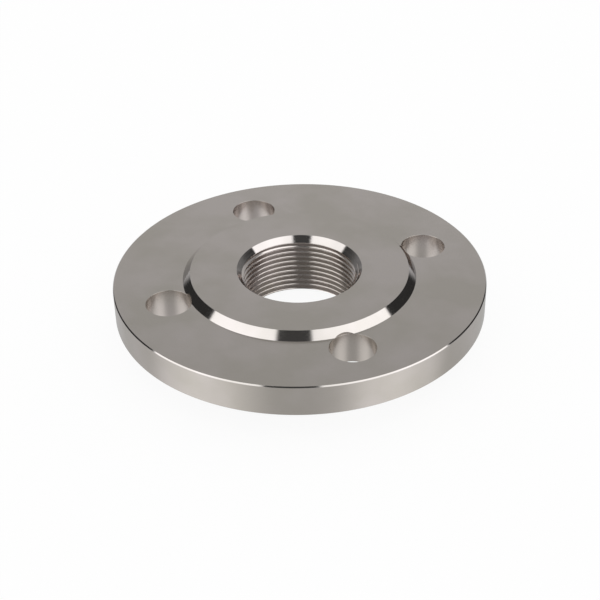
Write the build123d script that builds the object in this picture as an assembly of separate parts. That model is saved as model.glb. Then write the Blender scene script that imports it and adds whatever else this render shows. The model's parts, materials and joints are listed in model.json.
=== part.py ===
from build123d import *
import math
import os

# Threaded pipe flange, turned as one piece: z = 0 is the hub end, +Z is the pipe's axis
# and the raised face is on top. Lengths are millimetres, angles are degrees.

# Plate
flange_d = 150.0  # outside diameter
plate_t = 13.0  # thickness without the raised face
rim_chamfer = 0.7  # broken edges of the rim, both sides

# Raised face
face_d = 88.0  # flat ring that the gasket seals on
face_h = 3.0  # step above the plate
face_bevel = 3.0  # width of its sloping edge

# Hub
hub_d = 70.0  # outside diameter
hub_h = 10.0  # how far it stands out from the back of the plate
hub_root_r = 6.0  # fillet where the hub meets the plate
hub_root_share = 0.8  # most of the hub's height that this fillet may take
hub_edge = 1.0  # chamfer round the outside of the hub end

# Bolt holes
bolt_circle_d = 110.0
bolt_hole_d = 18.0
bolt_count = 4
bolt_start_angle = 45.0  # first hole, from +X
bolt_edge = 0.3  # deburring at both ends of each hole

# Thread, right-hand, 11 turns an inch
thread_major_d = 47.803  # across the bottoms of the groove
thread_pitch = 2.309
thread_angle = 55.0  # between the two flanks of the groove
thread_full_depth = 0.640327  # depth of the full form, as a share of the pitch
thread_engagement = 0.8634  # share of that depth that the drilled bore leaves
thread_root_flat = 1 / 6  # width of the groove's bottom, as a share of the pitch
thread_start_angle = 229.0  # where the groove's centre crosses the hub end, from +X

# Bore ends
mouth_clear = 1.35  # countersink at the raised face, beyond the bottoms of the groove
mouth_angle = 45.0  # slope of the countersink, from the axis
exit_clear = 0.1  # chamfer at the hub end, beyond the bottoms of the groove
exit_h = 1.0  # height of that chamfer

# Cutters
drill_over = 1.0  # how far a drill reaches past the faces that it cuts
groove_over = 0.12  # how far the groove's cutter reaches into the open bore, as a share of the pitch

plate_bottom = hub_h
plate_top = plate_bottom + plate_t
face_top = plate_top + face_h
major_r = thread_major_d / 2
thread_depth = thread_engagement * thread_full_depth * thread_pitch
bore_r = major_r - thread_depth
mouth_r = major_r + mouth_clear
mouth_depth = (mouth_r - bore_r) / math.tan(math.radians(mouth_angle))


def turned_body():
    """Half section from the bore outwards, filleted at the hub's root and turned about the axis."""
    hub_r = hub_d / 2
    rim_r = flange_d / 2
    face_r = face_d / 2
    outline = Polyline(
        (bore_r, exit_h),
        (major_r + exit_clear, 0),
        (hub_r - hub_edge, 0),
        (hub_r, hub_edge),
        (hub_r, plate_bottom),
        (rim_r - rim_chamfer, plate_bottom),
        (rim_r, plate_bottom + rim_chamfer),
        (rim_r, plate_top - rim_chamfer),
        (rim_r - rim_chamfer, plate_top),
        (face_r + face_bevel, plate_top),
        (face_r, face_top),
        (mouth_r, face_top),
        (bore_r, face_top - mouth_depth),
        close=True,
    )
    section = make_face(outline)
    root = section.vertices().sort_by_distance((hub_r, plate_bottom, 0))[0]
    section = fillet(root, min(hub_root_r, hub_root_share * (hub_h - hub_edge)))
    return revolve(Plane.XZ * section, Axis.Z)


def bolt_holes():
    """Drills for the bolt circle, each a little wider where it leaves the plate's two faces."""
    hole_r = bolt_hole_d / 2
    outline = Polyline(
        (0, plate_bottom - drill_over),
        (hole_r + bolt_edge + drill_over, plate_bottom - drill_over),
        (hole_r, plate_bottom + bolt_edge),
        (hole_r, plate_top - bolt_edge),
        (hole_r + bolt_edge, plate_top),
        (hole_r + bolt_edge, face_top + drill_over),
        (0, face_top + drill_over),
        close=True,
    )
    drill = revolve(Plane.XZ * make_face(outline), Axis.Z)
    places = PolarLocations(bolt_circle_d / 2, bolt_count, start_angle=bolt_start_angle)
    return [place * drill for place in places]


def thread_groove():
    """One turn of the groove, swept along a helix, and its copies from below the hub end to the top."""
    slope = math.tan(math.radians(thread_angle / 2))
    root_w = thread_root_flat * thread_pitch / 2
    clear_r = bore_r - groove_over * thread_pitch
    clear_w = root_w + (major_r - clear_r) * slope
    form = Polyline(
        (major_r, -root_w),
        (major_r, root_w),
        (clear_r, clear_w),
        (clear_r, -clear_w),
        close=True,
    )
    path = Helix(pitch=thread_pitch, height=thread_pitch, radius=bore_r)
    turn = Rot(0, 0, thread_start_angle) * sweep(Plane.XZ * make_face(form), path=path, is_frenet=True)
    turns = math.ceil(face_top / thread_pitch) + 1
    return [Pos(0, 0, number * thread_pitch) * turn for number in range(-1, turns)]


def threaded_flange():
    flange = turned_body() - bolt_holes() - thread_groove()
    flange.label = "threaded_flange"
    return flange


os.makedirs("parts", exist_ok=True)
export_step(threaded_flange(), "parts/threaded_flange.step")
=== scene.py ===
import bmesh
import bpy
import json
import math
from mathutils import Matrix, Vector


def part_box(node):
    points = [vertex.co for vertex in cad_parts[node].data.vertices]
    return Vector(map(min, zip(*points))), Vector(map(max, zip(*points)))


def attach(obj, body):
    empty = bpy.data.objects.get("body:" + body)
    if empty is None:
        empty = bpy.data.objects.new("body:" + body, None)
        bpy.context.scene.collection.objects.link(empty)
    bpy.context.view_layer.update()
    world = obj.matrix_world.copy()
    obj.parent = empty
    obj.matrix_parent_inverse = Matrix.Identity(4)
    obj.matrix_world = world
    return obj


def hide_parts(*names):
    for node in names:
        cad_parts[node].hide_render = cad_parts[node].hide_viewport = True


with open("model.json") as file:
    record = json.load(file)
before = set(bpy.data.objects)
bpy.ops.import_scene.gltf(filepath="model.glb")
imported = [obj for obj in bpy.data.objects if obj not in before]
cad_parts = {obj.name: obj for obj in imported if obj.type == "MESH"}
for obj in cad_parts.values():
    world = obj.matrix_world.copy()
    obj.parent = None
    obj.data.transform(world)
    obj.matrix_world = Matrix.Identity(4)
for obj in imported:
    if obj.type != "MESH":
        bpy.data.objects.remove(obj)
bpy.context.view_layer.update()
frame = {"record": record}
mounts = {mount["name"]: mount for mount in frame["record"]["mounts"]}
mm = 0.001


def linearColour(hexText):  # sRGB hex to the linear values that shaders take
    channels = [int(hexText[i:i + 2], 16) / 255 for i in (1, 3, 5)]
    return [c / 12.92 if c <= 0.04045 else ((c + 0.055) / 1.055) ** 2.4 for c in channels] + [1.0]


def addNode(tree, kind, settings=None, inputs=None):
    # each input is a socket's name or number, and the value or the other node's socket that it takes
    node = tree.nodes.new(kind)
    for name, value in (settings or {}).items():
        setattr(node, name, value)
    for name, value in (inputs or {}).items():
        if isinstance(value, bpy.types.NodeSocket):
            tree.links.new(value, node.inputs[name])
        else:
            node.inputs[name].default_value = value
    return node


def newMaterial(name):  # an empty node tree to build in
    material = bpy.data.materials.new(name)
    material.use_nodes = True
    material.node_tree.nodes.clear()
    return material


# Stainless steel, turned from a forging: every surface is bare metal and only the cut differs.
# Faces and rim are satin from the lathe's fine feed. Chamfers are cut slowly and shine like mirrors.
# Drilled and tapped walls are duller, and painted warmer, as light that bounces between them would make
# them. The tapped walls are also painted lighter than the other steel, painted light that brightens the
# thread.
# The tool marks of the real one are about 0.1 mm apart, too fine to show, so they are drawn coarser.

steel = {
    "colour": "#D6CFCA",
    "filmColour": "#F3F4F0",  # what a thin film of cutting oil, lying in patches, lets through
    "filmSize": 28 * mm,
    "filmEdge": (0.38, 0.62),  # values of the noise where a patch starts and where it is full
    "filmRoughness": 0.03,  # added where the film lies
    "grain": 3,  # octaves of noise in the film and in the tool marks
}
finishes = {  # across: how much radius and height move a point across the tool marks
    "turnedSteel": {
        "colour": steel["colour"],
        "roughness": 0.15,
        "markWidth": 0.7 * mm,
        "markDepth": 0.0012 * mm,
        "across": (1, 2),
    },
    "chamferedSteel": {
        "colour": "#D9D3D1",
        "roughness": 0.06,
        "markWidth": 0.5 * mm,
        "markDepth": 0.008 * mm,
        "across": (1, 2),
    },
    "drilledSteel": {
        "colour": "#CFC7C3",
        "roughness": 0.22,
        "markWidth": 0.6 * mm,
        "markDepth": 0.004 * mm,
        "across": (0, 1),
    },
    "threadedSteel": {
        # painted light: lighter and pinker than the other steel, so that the thread shows brighter
        "colour": "#E7DFDC",
        "roughness": 0.14,
        "markWidth": 0.4 * mm,
        "markDepth": 0.003 * mm,
        "across": (1, 2),
    },
}


def stainlessSteel(name):
    finish = finishes[name]
    material = newMaterial(name)
    tree = material.node_tree
    spot = addNode(tree, "ShaderNodeTexCoord").outputs["Object"]
    level = addNode(tree, "ShaderNodeVectorMath", {"operation": "MULTIPLY"}, {0: spot, 1: (1, 1, 0)})
    radius = addNode(tree, "ShaderNodeVectorMath", {"operation": "LENGTH"}, {0: level.outputs[0]})
    height = addNode(tree, "ShaderNodeSeparateXYZ", {}, {0: spot})
    outwardShare, upwardShare = [share / finish["markWidth"] for share in finish["across"]]
    outward = addNode(tree, "ShaderNodeMath", {"operation": "MULTIPLY"},
                      {0: radius.outputs["Value"], 1: outwardShare})
    across = addNode(tree, "ShaderNodeMath", {"operation": "MULTIPLY_ADD"},
                     {0: height.outputs[2], 1: upwardShare, 2: outward.outputs[0]})
    marks = addNode(tree, "ShaderNodeTexNoise", {"noise_dimensions": "1D"},
                    {"W": across.outputs[0], "Scale": 1.0, "Detail": steel["grain"], "Roughness": 0.6})
    film = addNode(tree, "ShaderNodeTexNoise", {}, {
        "Vector": spot,
        "Scale": 1 / steel["filmSize"],
        "Detail": steel["grain"],
        "Roughness": 0.55,
    })
    patchStart, patchFull = steel["filmEdge"]
    patches = addNode(tree, "ShaderNodeMapRange", {}, {0: film.outputs[0], 1: patchStart, 2: patchFull})
    bare = linearColour(finish["colour"])
    filmed = [channel * passed for channel, passed in zip(bare, linearColour(steel["filmColour"]))]
    colour = addNode(tree, "ShaderNodeMix", {"data_type": "RGBA"},
                     {0: patches.outputs[0], 6: bare, 7: filmed})
    dullness = addNode(tree, "ShaderNodeMapRange", {}, {
        0: patches.outputs[0],
        3: finish["roughness"],
        4: finish["roughness"] + steel["filmRoughness"],
    })
    relief = addNode(tree, "ShaderNodeBump", {},
                     {"Strength": 1.0, "Distance": finish["markDepth"], "Height": marks.outputs[0]})
    shader = addNode(tree, "ShaderNodeBsdfPrincipled", {}, {
        "Base Color": colour.outputs[2],
        "Metallic": 1.0,
        "Roughness": dullness.outputs[0],
        "Normal": relief.outputs[0],
    })
    addNode(tree, "ShaderNodeOutputMaterial", {}, {"Surface": shader.outputs[0]})
    return material


def ringSection(points):  # a closed outline in the XZ plane, from (radius, height) points
    bm = bmesh.new()
    bm.faces.new([bm.verts.new((radius, 0, height)) for radius, height in points])
    return bm


def roundCorners(bm, verts, radius, turn, steps):  # turn: how far the outline turns there, in radians
    bmesh.ops.bevel(bm, geom=verts, offset=radius * math.tan(turn / 2), offset_type="OFFSET",
                    affect="VERTICES", segments=steps, profile=0.5, material=-1)


def turnSection(bm, steps, rise=0):
    # spins the outline once round the axis, or up one turn of a helix when it rises
    bmesh.ops.delete(bm, geom=bm.faces[:], context="FACES_ONLY")
    bmesh.ops.spin(bm, geom=bm.verts[:] + bm.edges[:], cent=(0, 0, 0), axis=(0, 0, 1),
                   dvec=(0, 0, rise / steps), angle=2 * math.pi, steps=steps, use_merge=not rise)


mergeDistance = 0.001 * mm  # corners of copies that touch become one


def repeat(bm, places):  # puts a copy of what the bmesh holds at each place, and takes the first one away
    firstVerts = bm.verts[:]
    first = firstVerts + bm.edges[:] + bm.faces[:]
    for placement in places:
        copy = bmesh.ops.duplicate(bm, geom=first)["geom"]
        moved = [item for item in copy if isinstance(item, bmesh.types.BMVert)]
        bmesh.ops.transform(bm, matrix=placement, verts=moved)
    bmesh.ops.delete(bm, geom=firstVerts, context="VERTS")
    bmesh.ops.remove_doubles(bm, verts=bm.verts[:], dist=mergeDistance)


def meshObject(name, bm, materials):
    bmesh.ops.recalc_face_normals(bm, faces=bm.faces[:])
    mesh = bpy.data.meshes.new(name)
    bm.to_mesh(mesh)
    bm.free()
    for material in materials:
        mesh.materials.append(material)
    made = bpy.data.objects.new(name, mesh)
    bpy.context.scene.collection.objects.link(made)
    return made


# The flange is spun from half its section, then drilled and threaded with cutters, as the real one is made.

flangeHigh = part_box("threaded_flange")[1]
holePattern = mounts["bolt_holes"]
flange = {
    "rimRadius": flangeHigh.x,
    "faceTop": flangeHigh.z,
    "plateTop": holePattern["pos_m"][2],
    "plateBottom": mounts["nut_face"]["pos_m"][2],
    "rimChamfer": 0.45 * mm,
    "faceRadius": 44 * mm,
    "faceBevel": 3 * mm,
    "hubRadius": 35 * mm,
    "hubFillet": 6 * mm,
    "hubEdge": 1 * mm,
    "mouthRadius": 25.25 * mm,  # countersink at the raised face
    "exitRadius": 24 * mm,  # chamfer where the bore leaves the hub
    "exitHeight": 1 * mm,
    "edgeRadius": 0.12 * mm,  # how far each turned corner is rubbed off
    "edgeSteps": 3,
    "filletSteps": 16,
    "segments": 240,
    "chamferTilt": (0.05, 0.99),  # a face is a bright chamfer where its normal's z is between these
    "sharpAngle": 30,
}


def turnedBlank():
    f = flange
    mouthBottom = f["faceTop"] - (f["mouthRadius"] - thread["boreRadius"])
    section = ringSection([
        (thread["boreRadius"], f["exitHeight"]),
        (f["exitRadius"], 0),
        (f["hubRadius"] - f["hubEdge"], 0),
        (f["hubRadius"], f["hubEdge"]),
        (f["hubRadius"], f["plateBottom"]),
        (f["rimRadius"] - f["rimChamfer"], f["plateBottom"]),
        (f["rimRadius"], f["plateBottom"] + f["rimChamfer"]),
        (f["rimRadius"], f["plateTop"] - f["rimChamfer"]),
        (f["rimRadius"] - f["rimChamfer"], f["plateTop"]),
        (f["faceRadius"] + f["faceBevel"], f["plateTop"]),
        (f["faceRadius"], f["faceTop"]),
        (f["mouthRadius"], f["faceTop"]),
        (thread["boreRadius"], mouthBottom),
    ])
    section.verts.ensure_lookup_table()
    hubRoot = [section.verts[4]]
    rubbed = [section.verts[i] for i in (1, 2, 3, 5, 6, 7, 8, 10, 11)]  # every other corner outside the bore
    roundCorners(section, rubbed, f["edgeRadius"], math.pi / 4, f["edgeSteps"])
    roundCorners(section, hubRoot, f["hubFillet"], math.pi / 2, f["filletSteps"])
    turnSection(section, f["segments"])
    bmesh.ops.recalc_face_normals(section, faces=section.faces[:])
    leastTilt, mostTilt = f["chamferTilt"]
    for face in section.faces:
        height = face.calc_center_median().z
        inFillet = f["plateBottom"] - f["hubFillet"] < height < f["plateBottom"]
        chamfered = leastTilt < abs(face.normal.z) < mostTilt and not inFillet
        face.material_index = int(chamfered)
    materials = [stainlessSteel("turnedSteel"), stainlessSteel("chamferedSteel")]
    print("blank turned")
    return meshObject("turnedFlange", section, materials)


boltHole = {
    "radius": holePattern["dims"]["hole_r_mm"] * mm,
    "circleRadius": holePattern["dims"]["pcd_mm"] * mm / 2,
    "count": holePattern["dims"]["count"],
    "startAngle": 45,
    "deburr": 0.05 * mm,
    "over": 1 * mm,  # how far the drill reaches past the plate and the raised face
    "segments": 96,
}


def drills():
    f = flange
    h = boltHole
    section = ringSection([
        (0, f["plateBottom"] - h["over"]),
        (h["radius"] + h["deburr"] + h["over"], f["plateBottom"] - h["over"]),
        (h["radius"], f["plateBottom"] + h["deburr"]),
        (h["radius"], f["plateTop"] - h["deburr"]),
        (h["radius"] + h["deburr"], f["plateTop"]),
        (h["radius"] + h["deburr"], f["faceTop"] + h["over"]),
        (0, f["faceTop"] + h["over"]),
    ])
    turnSection(section, h["segments"])
    beside = Matrix.Translation((h["circleRadius"], 0, 0))
    angles = [math.radians(h["startAngle"] + 360 * number / h["count"]) for number in range(h["count"])]
    repeat(section, [Matrix.Rotation(angle, 4, "Z") @ beside for angle in angles])
    return meshObject("drills", section, [stainlessSteel("drilledSteel")])


thread = {  # right-hand pipe thread, 11 turns an inch
    "boreRadius": 22.423 * mm,  # at the crests of the full form, a little inside the solid's flat ones
    "majorRadius": 23.9015 * mm,
    "pitch": 2.309 * mm,
    "flankAngle": 27.5,
    "rootFlat": 1 / 6,  # width of the groove's bottom before rounding, as a share of the pitch
    "rootRadius": 0.317 * mm,
    "rootSteps": 14,
    "crestRadius": 0.34 * mm,
    "crestSteps": 6,
    "startAngle": 132,  # where the groove's centre crosses the hub end, from +X
    "shoulder": 0.498,  # half width of the cutter beside the groove, as a share of the pitch
    "inside": 0.3 * mm,  # how far the cutter reaches into the open bore
    "clear": 0.002 * mm,  # how far its shoulders stay off the bore's wall
    "stepsPerTurn": 120,
}


def threadCutter():
    t = thread
    slope = math.radians(t["flankAngle"])
    shoulderRadius = t["boreRadius"] - t["clear"]
    insideRadius = t["boreRadius"] - t["inside"]
    tipRadius = t["majorRadius"] + t["rootFlat"] * t["pitch"] / 2 / math.tan(slope)  # where the flanks meet
    grooveEdge = (tipRadius - shoulderRadius) * math.tan(slope)
    side = t["shoulder"] * t["pitch"]
    section = ringSection([
        (insideRadius, -side),
        (shoulderRadius, -side),
        (shoulderRadius, -grooveEdge),
        (tipRadius, 0),
        (shoulderRadius, grooveEdge),
        (shoulderRadius, side),
        (insideRadius, side),
    ])
    section.verts.ensure_lookup_table()
    edges = [section.verts[2], section.verts[4]]
    tip = [section.verts[3]]
    roundCorners(section, tip, t["rootRadius"], math.pi - 2 * slope, t["rootSteps"])
    roundCorners(section, edges, t["crestRadius"], math.pi / 2 - slope, t["crestSteps"])
    turnSection(section, t["stepsPerTurn"], t["pitch"])
    start = Matrix.Rotation(math.radians(t["startAngle"]), 4, "Z")
    turns = range(-2, math.ceil(flange["faceTop"] / t["pitch"]) + 1)  # from below the flange to above it
    repeat(section, [Matrix.Translation((0, 0, number * t["pitch"])) @ start for number in turns])
    bmesh.ops.holes_fill(section, edges=[edge for edge in section.edges if edge.is_boundary])
    return meshObject("threadCutter", section, [stainlessSteel("threadedSteel")])


def applyModifiers(piece):
    bpy.context.view_layer.update()
    evaluated = piece.evaluated_get(bpy.context.evaluated_depsgraph_get())
    shaped = bpy.data.meshes.new_from_object(evaluated)
    piece.modifiers.clear()
    unshaped = piece.data
    piece.data = shaped
    bpy.data.meshes.remove(unshaped)


def cutAway(piece, tool):  # what the tool cuts keeps the tool's own finish
    modifier = piece.modifiers.new(tool.name, "BOOLEAN")
    modifier.operation = "DIFFERENCE"
    modifier.solver = "MANIFOLD"
    modifier.material_mode = "TRANSFER"
    modifier.object = tool
    applyModifiers(piece)
    print("cut with", tool.name)
    bpy.data.objects.remove(tool)


def makeFlange():
    piece = turnedBlank()
    cutAway(piece, drills())
    cutAway(piece, threadCutter())
    piece.data.polygons.foreach_set("use_smooth", [True] * len(piece.data.polygons))
    piece.data.set_sharp_from_angle(angle=math.radians(flange["sharpAngle"]))
    weighted = piece.modifiers.new("weighted", "WEIGHTED_NORMAL")  # keeps flats flat beside rounded edges
    weighted.keep_sharp = True
    applyModifiers(piece)
    print("flange finished,", len(piece.data.polygons), "faces")
    return piece


camera = {
    "azimuth": 24.45,  # degrees from the front, to the right
    "elevation": 32.763,
    "distance": 0.5395,  # from the middle of the plate's top
    "lens": 80.15,  # in millimetres, as the sensor is
    "sensor": 36,
    "tiltDown": 1.125,
    "roll": -1.183,
}


def placeCamera():
    c = camera
    azimuth = math.radians(c["azimuth"])
    elevation = math.radians(c["elevation"])
    level = math.cos(elevation)
    back = Vector((math.sin(azimuth) * level, -math.cos(azimuth) * level, math.sin(elevation)))
    right = Vector((math.cos(azimuth), math.sin(azimuth), 0))
    aim = Matrix((right, back.cross(right), back)).transposed()
    tilt = Matrix.Rotation(math.radians(-c["tiltDown"]), 3, "X")
    roll = Matrix.Rotation(math.radians(c["roll"]), 3, "Z")
    target = Vector((0, 0, flange["plateTop"]))
    data = bpy.data.cameras.new("camera")
    data.lens = c["lens"]
    data.sensor_width = c["sensor"]
    holder = bpy.data.objects.new("camera", data)
    holder.matrix_world = Matrix.Translation(target + back * c["distance"]) @ (aim @ tilt @ roll).to_4x4()
    bpy.context.scene.collection.objects.link(holder)
    bpy.context.scene.camera = holder


floorLook = {  # seen from above only, so that the hub shows from below
    "size": 4,
    "drop": 0.02 * mm,  # how far it lies under the hub end
    "colour": "#F4F4F4",
    "whiteShare": 0.92,  # how much of what the camera sees of it is plain white, the rest takes the shadow
    "boreShade": 0.33,  # how bright the metal mirrors the floor inside the bore, against the floor outside
    "boreShadeRadius": 30 * mm,
}


def makeFloor():
    look = floorLook
    bm = bmesh.new()
    bmesh.ops.create_grid(bm, x_segments=1, y_segments=1, size=look["size"])
    bmesh.ops.translate(bm, verts=bm.verts[:], vec=(0, 0, -look["drop"]))
    material = newMaterial("floorWhite")
    tree = material.node_tree
    path = addNode(tree, "ShaderNodeLightPath")
    paint = addNode(tree, "ShaderNodeBsdfDiffuse", {}, {"Color": linearColour(look["colour"])})
    white = addNode(tree, "ShaderNodeEmission", {}, {"Strength": 1.0})
    whiteShare = addNode(tree, "ShaderNodeMath", {"operation": "MULTIPLY"},
                         {0: path.outputs["Is Camera Ray"], 1: look["whiteShare"]})
    seen = addNode(tree, "ShaderNodeMixShader", {},
                   {0: whiteShare.outputs[0], 1: paint.outputs[0], 2: white.outputs[0]})
    spot = addNode(tree, "ShaderNodeTexCoord").outputs["Object"]
    radius = addNode(tree, "ShaderNodeVectorMath", {"operation": "LENGTH"}, {0: spot})
    outside = addNode(tree, "ShaderNodeMath", {"operation": "GREATER_THAN"},
                      {0: radius.outputs["Value"], 1: look["boreShadeRadius"]})
    passed = addNode(tree, "ShaderNodeMath", {"operation": "MAXIMUM"},
                     {0: outside.outputs[0], 1: look["boreShade"]})
    mirrored = addNode(tree, "ShaderNodeBsdfTransparent", {}, {"Color": passed.outputs[0]})
    top = addNode(tree, "ShaderNodeMixShader", {},
                  {0: path.outputs["Is Glossy Ray"], 1: seen.outputs[0], 2: mirrored.outputs[0]})
    side = addNode(tree, "ShaderNodeNewGeometry")
    clear = addNode(tree, "ShaderNodeBsdfTransparent")
    surface = addNode(tree, "ShaderNodeMixShader", {},
                      {0: side.outputs["Backfacing"], 1: top.outputs[0], 2: clear.outputs[0]})
    addNode(tree, "ShaderNodeOutputMaterial", {}, {"Surface": surface.outputs[0]})
    meshObject("floor", bm, [material])
    print("floor")


def colourRamp(tree, place, stops):
    low, high = stops[0][0], stops[-1][0]
    span = addNode(tree, "ShaderNodeMapRange", {}, {0: place, 1: low, 2: high})
    ramp = addNode(tree, "ShaderNodeValToRGB", {}, {0: span.outputs[0]})
    elements = ramp.color_ramp.elements
    while len(elements) < len(stops):
        elements.new(1)
    for element, (at, brightness) in zip(elements, stops):
        element.position = (at - low) / (high - low)
        element.color = (brightness, brightness, brightness, 1)
    return ramp.outputs[0]


def times(tree, one, other):
    product = addNode(tree, "ShaderNodeVectorMath", {"operation": "MULTIPLY"}, {0: one, 1: other})
    return product.outputs[0]


def cover(tree, share, under, over):
    mix = addNode(tree, "ShaderNodeMix", {"data_type": "RGBA"}, {0: share, 6: under, 7: over})
    return mix.outputs[2]


def offPlane(tree, direction, normal):
    dot = addNode(tree, "ShaderNodeVectorMath", {"operation": "DOT_PRODUCT"}, {0: direction, 1: normal})
    return dot.outputs["Value"]


def between(tree, direction, planes):  # 1 where the direction is on the inner side of both planes
    sides = []
    for normal in planes:
        off = offPlane(tree, direction, normal)
        side = addNode(tree, "ShaderNodeMapRange", {}, {0: off, 1: -studio["edge"], 2: studio["edge"]})
        sides.append(side.outputs[0])
    both = addNode(tree, "ShaderNodeMath", {"operation": "MULTIPLY"}, {0: sides[0], 1: sides[1]})
    return both.outputs[0]


# The room that the metal mirrors: a white ceiling of two soft boxes with a dark gap over the camera,
# grey walls behind the flange, and two dark flags that the chamfers show as black stretches.
# Azimuths are degrees to the right of the camera, or to either side where both sides are the same.
# Heights are sines, so 0 is the horizon and 1 is straight up. Lists hold (place, brightness), and the
# walls' two lists are multiplied, as the boxes' are. A plane goes through the flange and is given by its
# normal: x to the camera's right, y towards the camera, z up.

studio = {
    "strength": 1.55,
    "walls": [(95, 0.86), (99, 0.08), (118, 0.12), (139, 0.2), (150, 0.28), (180, 0.31)],  # to either side
    "wallHeights": [(0, 0.5), (0.15, 0.6), (0.3, 1), (0.35, 1.12), (0.49, 1.05), (0.62, 0.86), (1, 0.8)],
    "ceiling": [(-0.17, 1, 0.5), (0.17, 1, 0.5)],  # planes that bound it
    "boxes": [(-100, 0.82), (-85, 0.86), (-68, 0.94), (-40, 0.91), (-18, 0.86), (0, 0.82),
              (18, 0.85), (40, 0.92), (68, 0.95), (85, 0.88), (100, 0.84)],
    "boxHeights": [(0, 0.35), (0.17, 0.45), (0.35, 0.75), (0.5, 1.15), (0.7, 1), (1, 1)],
    "gap": [(1, 0.277, 0.18), (-1, 0.113, 0.09)],  # planes that bound it
    "gapHeights": [(0.1, 0.3), (0.62, 0.2), (0.76, 0.04), (1, 0.035)],
    "flag": (0.531, 0.44, -0.724),  # plane that the right one lies along, and the left one mirrors it
    "flagWidth": [(-0.1, 0), (-0.05, 1), (0.12, 1), (0.2, 0)],  # how dense, by sine of the angle off it
    "flagReach": [(139, 1), (143, 0)],  # how dense, by azimuth to either side
    "flagBrightness": 0.02,
    "below": [(-180, 0.33), (-128, 0.34), (-105, 0.36), (-88, 0.51), (-70, 0.6), (-45, 0.54),
              (-33, 0.44), (-18, 0.32), (8, 0.31), (22, 0.36), (38, 0.54), (60, 0.6),
              (72, 0.55), (88, 0.48), (100, 0.34), (180, 0.33)],
    "edge": 0.02,  # half the width over which the planes' edges blur
    "horizon": 4,  # degrees above and below the horizon over which it blurs
}


def mirroredRoom(tree):
    s = studio
    ahead = addNode(tree, "ShaderNodeMapping", {"vector_type": "POINT"}, {
        "Vector": addNode(tree, "ShaderNodeTexCoord").outputs["Generated"],
        "Rotation": (0, 0, -math.radians(camera["azimuth"])),
    })
    direction = times(tree, ahead.outputs[0], (1, -1, 1))
    x, y, height = addNode(tree, "ShaderNodeSeparateXYZ", {}, {0: direction}).outputs
    around = addNode(tree, "ShaderNodeMath", {"operation": "ARCTAN2"}, {0: x, 1: y})
    azimuth = addNode(tree, "ShaderNodeMath", {"operation": "DEGREES"}, {0: around.outputs[0]}).outputs[0]
    eitherSide = addNode(tree, "ShaderNodeMath", {"operation": "ABSOLUTE"}, {0: azimuth}).outputs[0]
    sideways = addNode(tree, "ShaderNodeMath", {"operation": "ABSOLUTE"}, {0: x})
    folded = addNode(tree, "ShaderNodeCombineXYZ", {}, {0: sideways.outputs[0], 1: y, 2: height})

    offFlag = offPlane(tree, folded.outputs[0], s["flag"])
    flagReach = colourRamp(tree, eitherSide, s["flagReach"])
    flags = times(tree, colourRamp(tree, offFlag, s["flagWidth"]), flagReach)
    walls = times(tree, colourRamp(tree, eitherSide, s["walls"]), colourRamp(tree, height, s["wallHeights"]))
    boxes = times(tree, colourRamp(tree, azimuth, s["boxes"]), colourRamp(tree, height, s["boxHeights"]))
    upper = cover(tree, flags, walls, [s["flagBrightness"]] * 3 + [1])
    upper = cover(tree, between(tree, direction, s["ceiling"]), upper, boxes)
    upper = cover(tree, between(tree, direction, s["gap"]), upper, colourRamp(tree, height, s["gapHeights"]))
    blur = math.sin(math.radians(s["horizon"]))
    above = addNode(tree, "ShaderNodeMapRange", {}, {0: height, 1: -blur, 2: blur})
    return cover(tree, above.outputs[0], colourRamp(tree, azimuth, s["below"]), upper)


def makeWorld():  # even white light, and the room for what mirrors it
    world = bpy.data.worlds.new("studio")
    bpy.context.scene.world = world
    world.use_nodes = True
    tree = world.node_tree
    tree.nodes.clear()
    room = addNode(tree, "ShaderNodeBackground", {}, {0: mirroredRoom(tree), 1: studio["strength"]})
    even = addNode(tree, "ShaderNodeBackground", {}, {0: (1, 1, 1, 1), 1: 1.0})
    path = addNode(tree, "ShaderNodeLightPath")
    light = addNode(tree, "ShaderNodeMixShader", {},
                    {0: path.outputs["Is Glossy Ray"], 1: even.outputs[0], 2: room.outputs[0]})
    addNode(tree, "ShaderNodeOutputWorld", {}, {"Surface": light.outputs[0]})
    print("studio")


piece = makeFlange()
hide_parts("threaded_flange")
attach(piece, "root")
bpy.context.scene.view_settings.view_transform = "Standard"
placeCamera()
makeFloor()
makeWorld()
